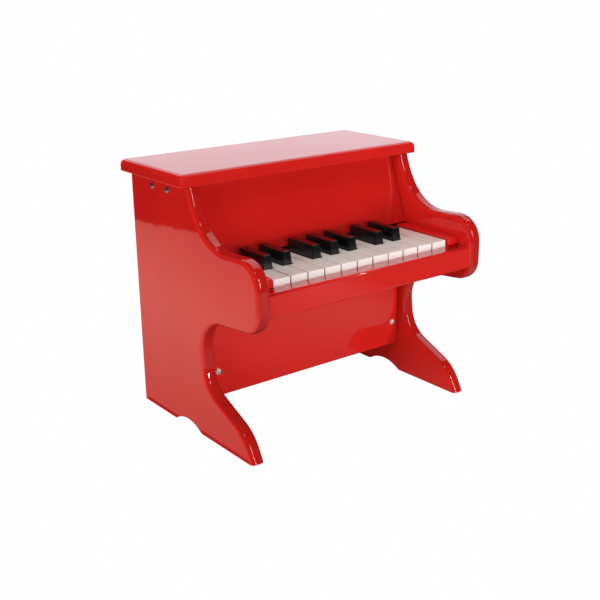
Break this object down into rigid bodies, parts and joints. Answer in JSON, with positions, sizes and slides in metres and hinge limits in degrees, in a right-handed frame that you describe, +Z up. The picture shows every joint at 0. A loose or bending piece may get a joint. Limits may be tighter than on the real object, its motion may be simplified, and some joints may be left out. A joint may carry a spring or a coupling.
{
  "type": "toy upright piano",
  "caption": "Small lacquered wooden toy upright piano with pivoted white and black keys, swept side panels and a flat lid.",
  "frame": {"origin": "on the floor, under the middle of the overall box", "axes": "+Z up; +X to the treble end (the player's right); the player sits at -Y"},
  "size_m": [0.321, 0.246, 0.283],
  "materials": {
    "red_lacquer": "smooth board under thick gloss red lacquer",
    "white_paint": "satin off-white paint over wood grain",
    "black_paint": "gloss black paint over wood",
    "bare_wood": "bare sanded wood",
    "screw_zinc": "bright zinc-plated screw",
    "rod_steel": "drawn steel rod",
    "chime_metal": "grey metal bar and chime rods",
    "hammer_plastic": "moulded natural plastic",
    "felt": "pressed felt strip"
  },
  "bodies": {
    "case": {"lid": "red_lacquer", "left_side_panel": "red_lacquer", "right_side_panel": "red_lacquer", "upper_front_panel": "red_lacquer", "lower_front_panel": "red_lacquer", "back_panel": "red_lacquer", "keybed": "bare_wood", "key_slip": "red_lacquer", "left_key_block": "red_lacquer", "right_key_block": "red_lacquer", "top_rail": "bare_wood", "lower_rail": "bare_wood", "key_pivot_rod": "rod_steel", "hammer_pivot_rod": "rod_steel", "chime_comb": "chime_metal", "key_stop_felt": "felt", "key_rest_felt": "felt", "lower_panel_screw_left": "screw_zinc", "lower_panel_screw_right": "screw_zinc", "side_screw_left_front": "screw_zinc", "side_screw_left_rear": "screw_zinc", "side_screw_right_front": "screw_zinc", "side_screw_right_rear": "screw_zinc"},
    "key_C1": {"white_key_C1": "white_paint"},
    "hammer_C1": {"hammer_C1": "hammer_plastic"},
    "key_Cs1": {"black_key_Cs1": "black_paint"},
    "hammer_Cs1": {"hammer_Cs1": "hammer_plastic"},
    "key_D1": {"white_key_D1": "white_paint"},
    "hammer_D1": {"hammer_D1": "hammer_plastic"},
    "key_Ds1": {"black_key_Ds1": "black_paint"},
    "hammer_Ds1": {"hammer_Ds1": "hammer_plastic"},
    "key_E1": {"white_key_E1": "white_paint"},
    "hammer_E1": {"hammer_E1": "hammer_plastic"},
    "key_F1": {"white_key_F1": "white_paint"},
    "hammer_F1": {"hammer_F1": "hammer_plastic"},
    "key_Fs1": {"black_key_Fs1": "black_paint"},
    "hammer_Fs1": {"hammer_Fs1": "hammer_plastic"},
    "key_G1": {"white_key_G1": "white_paint"},
    "hammer_G1": {"hammer_G1": "hammer_plastic"},
    "key_Gs1": {"black_key_Gs1": "black_paint"},
    "hammer_Gs1": {"hammer_Gs1": "hammer_plastic"},
    "key_A1": {"white_key_A1": "white_paint"},
    "hammer_A1": {"hammer_A1": "hammer_plastic"},
    "key_As1": {"black_key_As1": "black_paint"},
    "hammer_As1": {"hammer_As1": "hammer_plastic"},
    "key_B1": {"white_key_B1": "white_paint"},
    "hammer_B1": {"hammer_B1": "hammer_plastic"},
    "key_C2": {"white_key_C2": "white_paint"},
    "hammer_C2": {"hammer_C2": "hammer_plastic"},
    "key_Cs2": {"black_key_Cs2": "black_paint"},
    "hammer_Cs2": {"hammer_Cs2": "hammer_plastic"},
    "key_D2": {"white_key_D2": "white_paint"},
    "hammer_D2": {"hammer_D2": "hammer_plastic"},
    "key_Ds2": {"black_key_Ds2": "black_paint"},
    "hammer_Ds2": {"hammer_Ds2": "hammer_plastic"},
    "key_E2": {"white_key_E2": "white_paint"},
    "hammer_E2": {"hammer_E2": "hammer_plastic"},
    "key_F2": {"white_key_F2": "white_paint"},
    "hammer_F2": {"hammer_F2": "hammer_plastic"}
  },
  "joints": [
    {"name": "key_C1_press", "type": "hinge", "parent": "case", "child": "key_C1", "pos_m": [-0.11235, 0.01405, 0.1825], "axis": [1, 0, 0], "range_deg": [0, 3.2], "stiffness_Nm_per_rad": 0.5, "springref_deg": -5.73},
    {"name": "hammer_C1_swing", "type": "hinge", "parent": "case", "child": "hammer_C1", "pos_m": [-0.11235, 0.08205, 0.199], "axis": [1, 0, 0], "range_deg": [-9.7, 0]},
    {"name": "key_Cs1_press", "type": "hinge", "parent": "case", "child": "key_Cs1", "pos_m": [-0.099, 0.01405, 0.1825], "axis": [1, 0, 0], "range_deg": [0, 3.2], "stiffness_Nm_per_rad": 0.5, "springref_deg": -5.73},
    {"name": "hammer_Cs1_swing", "type": "hinge", "parent": "case", "child": "hammer_Cs1", "pos_m": [-0.099, 0.08205, 0.199], "axis": [1, 0, 0], "range_deg": [-9.7, 0]},
    {"name": "key_D1_press", "type": "hinge", "parent": "case", "child": "key_D1", "pos_m": [-0.0867, 0.01405, 0.1825], "axis": [1, 0, 0], "range_deg": [0, 3.2], "stiffness_Nm_per_rad": 0.5, "springref_deg": -5.73},
    {"name": "hammer_D1_swing", "type": "hinge", "parent": "case", "child": "hammer_D1", "pos_m": [-0.0867, 0.08205, 0.199], "axis": [1, 0, 0], "range_deg": [-9.7, 0]},
    {"name": "key_Ds1_press", "type": "hinge", "parent": "case", "child": "key_Ds1", "pos_m": [-0.0744, 0.01405, 0.1825], "axis": [1, 0, 0], "range_deg": [0, 3.2], "stiffness_Nm_per_rad": 0.5, "springref_deg": -5.73},
    {"name": "hammer_Ds1_swing", "type": "hinge", "parent": "case", "child": "hammer_Ds1", "pos_m": [-0.0744, 0.08205, 0.199], "axis": [1, 0, 0], "range_deg": [-9.7, 0]},
    {"name": "key_E1_press", "type": "hinge", "parent": "case", "child": "key_E1", "pos_m": [-0.06075, 0.01405, 0.1825], "axis": [1, 0, 0], "range_deg": [0, 3.2], "stiffness_Nm_per_rad": 0.5, "springref_deg": -5.73},
    {"name": "hammer_E1_swing", "type": "hinge", "parent": "case", "child": "hammer_E1", "pos_m": [-0.06075, 0.08205, 0.199], "axis": [1, 0, 0], "range_deg": [-9.7, 0]},
    {"name": "key_F1_press", "type": "hinge", "parent": "case", "child": "key_F1", "pos_m": [-0.04835, 0.01405, 0.1825], "axis": [1, 0, 0], "range_deg": [0, 3.2], "stiffness_Nm_per_rad": 0.5, "springref_deg": -5.73},
    {"name": "hammer_F1_swing", "type": "hinge", "parent": "case", "child": "hammer_F1", "pos_m": [-0.04835, 0.08205, 0.199], "axis": [1, 0, 0], "range_deg": [-9.7, 0]},
    {"name": "key_Fs1_press", "type": "hinge", "parent": "case", "child": "key_Fs1", "pos_m": [-0.0358, 0.01405, 0.1825], "axis": [1, 0, 0], "range_deg": [0, 3.2], "stiffness_Nm_per_rad": 0.5, "springref_deg": -5.73},
    {"name": "hammer_Fs1_swing", "type": "hinge", "parent": "case", "child": "hammer_Fs1", "pos_m": [-0.0358, 0.08205, 0.199], "axis": [1, 0, 0], "range_deg": [-9.7, 0]},
    {"name": "key_G1_press", "type": "hinge", "parent": "case", "child": "key_G1", "pos_m": [-0.0235, 0.01405, 0.1825], "axis": [1, 0, 0], "range_deg": [0, 3.2], "stiffness_Nm_per_rad": 0.5, "springref_deg": -5.73},
    {"name": "hammer_G1_swing", "type": "hinge", "parent": "case", "child": "hammer_G1", "pos_m": [-0.0235, 0.08205, 0.199], "axis": [1, 0, 0], "range_deg": [-9.7, 0]},
    {"name": "key_Gs1_press", "type": "hinge", "parent": "case", "child": "key_Gs1", "pos_m": [-0.0112, 0.01405, 0.1825], "axis": [1, 0, 0], "range_deg": [0, 3.2], "stiffness_Nm_per_rad": 0.5, "springref_deg": -5.73},
    {"name": "hammer_Gs1_swing", "type": "hinge", "parent": "case", "child": "hammer_Gs1", "pos_m": [-0.0112, 0.08205, 0.199], "axis": [1, 0, 0], "range_deg": [-9.7, 0]},
    {"name": "key_A1_press", "type": "hinge", "parent": "case", "child": "key_A1", "pos_m": [0.0011, 0.01405, 0.1825], "axis": [1, 0, 0], "range_deg": [0, 3.2], "stiffness_Nm_per_rad": 0.5, "springref_deg": -5.73},
    {"name": "hammer_A1_swing", "type": "hinge", "parent": "case", "child": "hammer_A1", "pos_m": [0.0011, 0.08205, 0.199], "axis": [1, 0, 0], "range_deg": [-9.7, 0]},
    {"name": "key_As1_press", "type": "hinge", "parent": "case", "child": "key_As1", "pos_m": [0.0134, 0.01405, 0.1825], "axis": [1, 0, 0], "range_deg": [0, 3.2], "stiffness_Nm_per_rad": 0.5, "springref_deg": -5.73},
    {"name": "hammer_As1_swing", "type": "hinge", "parent": "case", "child": "hammer_As1", "pos_m": [0.0134, 0.08205, 0.199], "axis": [1, 0, 0], "range_deg": [-9.7, 0]},
    {"name": "key_B1_press", "type": "hinge", "parent": "case", "child": "key_B1", "pos_m": [0.02635, 0.01405, 0.1825], "axis": [1, 0, 0], "range_deg": [0, 3.2], "stiffness_Nm_per_rad": 0.5, "springref_deg": -5.73},
    {"name": "hammer_B1_swing", "type": "hinge", "parent": "case", "child": "hammer_B1", "pos_m": [0.02635, 0.08205, 0.199], "axis": [1, 0, 0], "range_deg": [-9.7, 0]},
    {"name": "key_C2_press", "type": "hinge", "parent": "case", "child": "key_C2", "pos_m": [0.03865, 0.01405, 0.1825], "axis": [1, 0, 0], "range_deg": [0, 3.2], "stiffness_Nm_per_rad": 0.5, "springref_deg": -5.73},
    {"name": "hammer_C2_swing", "type": "hinge", "parent": "case", "child": "hammer_C2", "pos_m": [0.03865, 0.08205, 0.199], "axis": [1, 0, 0], "range_deg": [-9.7, 0]},
    {"name": "key_Cs2_press", "type": "hinge", "parent": "case", "child": "key_Cs2", "pos_m": [0.0518, 0.01405, 0.1825], "axis": [1, 0, 0], "range_deg": [0, 3.2], "stiffness_Nm_per_rad": 0.5, "springref_deg": -5.73},
    {"name": "hammer_Cs2_swing", "type": "hinge", "parent": "case", "child": "hammer_Cs2", "pos_m": [0.0518, 0.08205, 0.199], "axis": [1, 0, 0], "range_deg": [-9.7, 0]},
    {"name": "key_D2_press", "type": "hinge", "parent": "case", "child": "key_D2", "pos_m": [0.0646, 0.01405, 0.1825], "axis": [1, 0, 0], "range_deg": [0, 3.2], "stiffness_Nm_per_rad": 0.5, "springref_deg": -5.73},
    {"name": "hammer_D2_swing", "type": "hinge", "parent": "case", "child": "hammer_D2", "pos_m": [0.0646, 0.08205, 0.199], "axis": [1, 0, 0], "range_deg": [-9.7, 0]},
    {"name": "key_Ds2_press", "type": "hinge", "parent": "case", "child": "key_Ds2", "pos_m": [0.0774, 0.01405, 0.1825], "axis": [1, 0, 0], "range_deg": [0, 3.2], "stiffness_Nm_per_rad": 0.5, "springref_deg": -5.73},
    {"name": "hammer_Ds2_swing", "type": "hinge", "parent": "case", "child": "hammer_Ds2", "pos_m": [0.0774, 0.08205, 0.199], "axis": [1, 0, 0], "range_deg": [-9.7, 0]},
    {"name": "key_E2_press", "type": "hinge", "parent": "case", "child": "key_E2", "pos_m": [0.09075, 0.01405, 0.1825], "axis": [1, 0, 0], "range_deg": [0, 3.2], "stiffness_Nm_per_rad": 0.5, "springref_deg": -5.73},
    {"name": "hammer_E2_swing", "type": "hinge", "parent": "case", "child": "hammer_E2", "pos_m": [0.09075, 0.08205, 0.199], "axis": [1, 0, 0], "range_deg": [-9.7, 0]},
    {"name": "key_F2_press", "type": "hinge", "parent": "case", "child": "key_F2", "pos_m": [0.108, 0.01405, 0.1825], "axis": [1, 0, 0], "range_deg": [0, 3.2], "stiffness_Nm_per_rad": 0.5, "springref_deg": -5.73},
    {"name": "hammer_F2_swing", "type": "hinge", "parent": "case", "child": "hammer_F2", "pos_m": [0.108, 0.08205, 0.199], "axis": [1, 0, 0], "range_deg": [-9.7, 0]}
  ],
  "couplings": [
    {"joint": "hammer_C1_swing", "follows": "key_C1_press", "ratio": -3},
    {"joint": "hammer_Cs1_swing", "follows": "key_Cs1_press", "ratio": -3},
    {"joint": "hammer_D1_swing", "follows": "key_D1_press", "ratio": -3},
    {"joint": "hammer_Ds1_swing", "follows": "key_Ds1_press", "ratio": -3},
    {"joint": "hammer_E1_swing", "follows": "key_E1_press", "ratio": -3},
    {"joint": "hammer_F1_swing", "follows": "key_F1_press", "ratio": -3},
    {"joint": "hammer_Fs1_swing", "follows": "key_Fs1_press", "ratio": -3},
    {"joint": "hammer_G1_swing", "follows": "key_G1_press", "ratio": -3},
    {"joint": "hammer_Gs1_swing", "follows": "key_Gs1_press", "ratio": -3},
    {"joint": "hammer_A1_swing", "follows": "key_A1_press", "ratio": -3},
    {"joint": "hammer_As1_swing", "follows": "key_As1_press", "ratio": -3},
    {"joint": "hammer_B1_swing", "follows": "key_B1_press", "ratio": -3},
    {"joint": "hammer_C2_swing", "follows": "key_C2_press", "ratio": -3},
    {"joint": "hammer_Cs2_swing", "follows": "key_Cs2_press", "ratio": -3},
    {"joint": "hammer_D2_swing", "follows": "key_D2_press", "ratio": -3},
    {"joint": "hammer_Ds2_swing", "follows": "key_Ds2_press", "ratio": -3},
    {"joint": "hammer_E2_swing", "follows": "key_E2_press", "ratio": -3},
    {"joint": "hammer_F2_swing", "follows": "key_F2_press", "ratio": -3}
  ]
}
